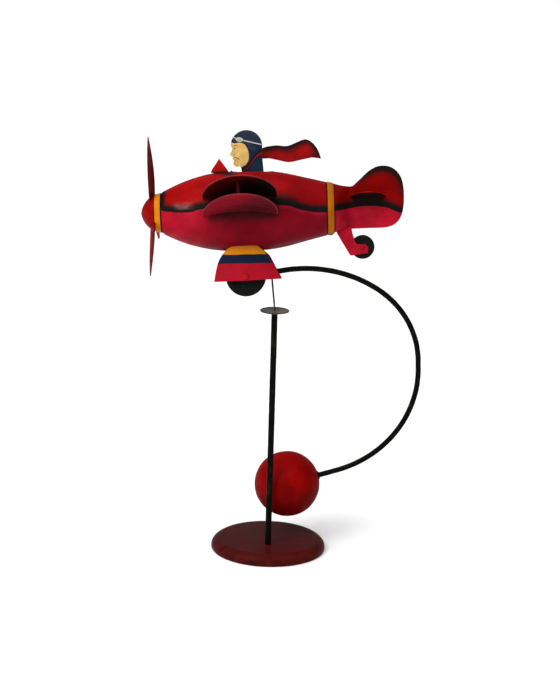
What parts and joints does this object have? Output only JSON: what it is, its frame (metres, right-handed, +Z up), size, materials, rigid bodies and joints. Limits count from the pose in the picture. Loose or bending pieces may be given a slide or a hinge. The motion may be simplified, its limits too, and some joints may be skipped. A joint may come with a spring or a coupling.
{
  "type": "balancing aeroplane toy",
  "caption": "Tin biplane with a cut-out pilot that balances and spins on a needle point on a post, with a ball on a curved arm as its counterweight.",
  "frame": {"origin": "centre of the wooden base's underside", "axes": "+Z up along the post; the aeroplane's nose points to -X at rest, and its left wings, the high ones, to -Y"},
  "size_m": [0.3589, 0.2558, 0.5434],
  "materials": {
    "base_wood": "dark red stain under satin varnish, worn at the edge",
    "black_steel": "black paint, rubbed",
    "bare_steel": "dull steel",
    "worn_steel": "worn grey-brown, hand hammered",
    "fuselage_paint": "hand-painted red over crimson with airbrushed black, satin",
    "crimson_paint": "hand-painted crimson, satin",
    "yellow_paint": "hand-painted orange-yellow, satin",
    "pilot_paint": "hand-painted face, cap and collar, satin",
    "scarf_paint": "hand-painted red with airbrushed black, satin",
    "red_paint": "hand-painted bright red, satin",
    "wing_paint": "hand-painted red, black towards the root, satin",
    "fairing_paint": "hand-painted yellow, blue and crimson stripes, satin",
    "wheel_black": "black paint, dull",
    "ball_paint": "hand-painted deep red, satin",
    "blade_paint": "hand-painted dark red, satin"
  },
  "bodies": {
    "stand": {"base": "base_wood", "post": "black_steel", "post_screw": "bare_steel", "dish": "worn_steel"},
    "needle_point": {"pivot_point": "bare_steel"},
    "aeroplane": {"needle": "bare_steel", "fuselage": "fuselage_paint", "nose_bulkhead": "fuselage_paint", "tail_cone": "crimson_paint", "tail_band": "yellow_paint", "cockpit_floor": "fuselage_paint", "pilot": "pilot_paint", "scarf": "scarf_paint", "windscreen": "red_paint", "upper_left_wing": "wing_paint", "upper_right_wing": "wing_paint", "lower_left_wing": "wing_paint", "lower_right_wing": "wing_paint", "left_stabiliser": "wing_paint", "right_stabiliser": "wing_paint", "fin": "fuselage_paint", "left_wheel_fairing": "fairing_paint", "right_wheel_fairing": "fairing_paint", "main_axle": "black_steel", "tail_wheel_fork": "crimson_paint", "tail_wheel_pin": "bare_steel", "counterweight_arm": "black_steel", "counterweight_ball": "ball_paint", "propeller_shaft": "bare_steel", "shaft_washer": "bare_steel"},
    "propeller": {"nose_cap": "red_paint", "nose_band": "yellow_paint", "propeller_hub": "bare_steel", "blade_1": "blade_paint", "blade_2": "blade_paint", "blade_3": "blade_paint"},
    "left_main_wheel": {"left_wheel": "wheel_black"},
    "right_main_wheel": {"right_wheel": "wheel_black"},
    "rear_wheel": {"tail_wheel": "wheel_black"}
  },
  "joints": [
    {"name": "spin_on_point", "type": "hinge", "parent": "stand", "child": "needle_point", "pos_m": [0, -0.026, 0.3247], "axis": [0, 0, 1], "continuous": true},
    {"name": "rock_on_point", "type": "hinge", "parent": "needle_point", "child": "aeroplane", "pos_m": [0, -0.026, 0.3247], "axis": [0, 1, 0], "range_deg": [-22, 22]},
    {"name": "propeller_spin", "type": "hinge", "parent": "aeroplane", "child": "propeller", "pos_m": [-0.1573, -0.00219, 0.43834], "axis": [0.9983, 0, 0.0576], "continuous": true},
    {"name": "left_wheel_spin", "type": "hinge", "parent": "aeroplane", "child": "left_main_wheel", "pos_m": [-0.03707, -0.03445, 0.36829], "axis": [0.011, 0.9816, -0.1905], "continuous": true},
    {"name": "right_wheel_spin", "type": "hinge", "parent": "aeroplane", "child": "right_main_wheel", "pos_m": [-0.0367, -0.00107, 0.36181], "axis": [0.011, 0.9816, -0.1905], "continuous": true},
    {"name": "tail_wheel_spin", "type": "hinge", "parent": "aeroplane", "child": "rear_wheel", "pos_m": [0.10734, -0.01158, 0.40522], "axis": [0.011, 0.9816, -0.1905], "continuous": true}
  ]
}
